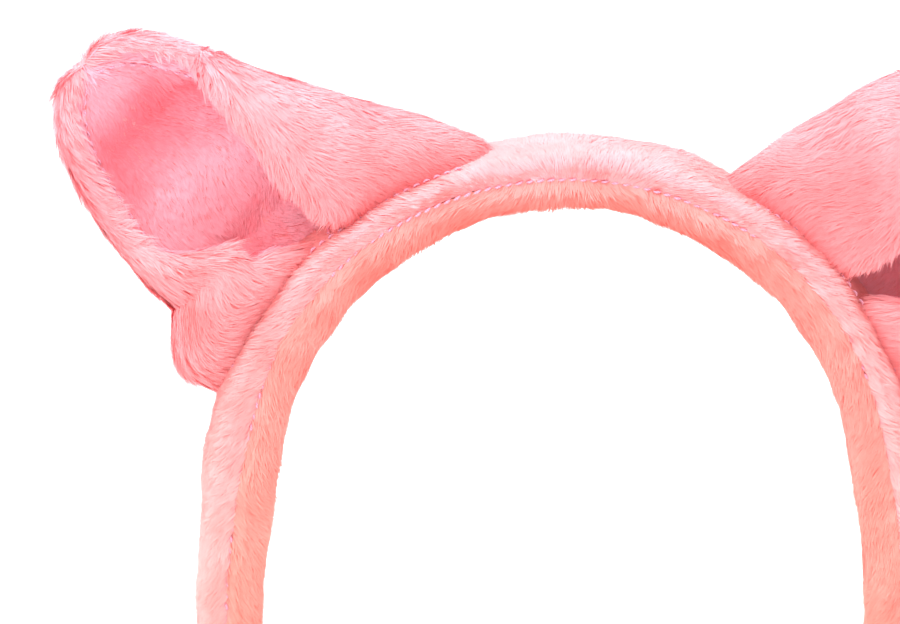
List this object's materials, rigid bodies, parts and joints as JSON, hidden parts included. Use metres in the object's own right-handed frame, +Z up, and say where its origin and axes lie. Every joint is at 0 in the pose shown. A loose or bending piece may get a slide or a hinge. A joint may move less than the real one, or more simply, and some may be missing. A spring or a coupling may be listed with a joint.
{
  "type": "animal ears headband",
  "caption": "Padded hoop headband in a two-panel plush cover, with two soft cupped animal ears sewn to its upper edge that tilt on their seams.",
  "frame": {"origin": "centre of the crown arc's inner face, half way across the band's width", "axes": "+Z up through the top of the crown, -Y to the front that the ears open towards, +X to the right seen from the front"},
  "size_m": [0.2254, 0.0303, 0.1679],
  "materials": {
    "hoop_plastic": "satin moulded strip",
    "wadding": "soft white foam wadding",
    "band_plush": "short pink plush pile",
    "lining_plush": "short salmon plush pile",
    "ear_plush": "pale pink plush pile",
    "ear_lining": "rose plush pile",
    "thread": "pink sewing thread"
  },
  "bodies": {
    "band": {"hoop_core": "hoop_plastic", "inner_padding": "wadding", "outer_padding": "wadding", "inner_cover": "lining_plush", "outer_cover": "band_plush", "front_seam_thread": "thread", "rear_seam_thread": "thread", "left_end_stitches": "thread", "right_end_stitches": "thread", "left_ear_front_stitches": "thread", "left_ear_back_stitches": "thread", "left_ear_pleat_tack": "thread", "right_ear_front_stitches": "thread", "right_ear_back_stitches": "thread", "right_ear_pleat_tack": "thread"},
    "ear_left": {"left_ear_outer_panel": "ear_plush", "left_ear_inner_panel": "ear_lining", "left_ear_foam": "wadding", "left_ear_rim_stitches": "thread"},
    "ear_right": {"right_ear_outer_panel": "ear_plush", "right_ear_inner_panel": "ear_lining", "right_ear_foam": "wadding", "right_ear_rim_stitches": "thread"}
  },
  "joints": [
    {"name": "left_ear_tilt", "type": "hinge", "parent": "band", "child": "ear_left", "pos_m": [-0.05047, 0, 0.05135], "axis": [0.7133, 0, 0.7009], "range_deg": [-30, 30], "stiffness_Nm_per_rad": 0.05},
    {"name": "right_ear_tilt", "type": "hinge", "parent": "band", "child": "ear_right", "pos_m": [0.05934, 0, 0.04078], "axis": [0.5664, 0, -0.8241], "range_deg": [-30, 30], "stiffness_Nm_per_rad": 0.05}
  ]
}
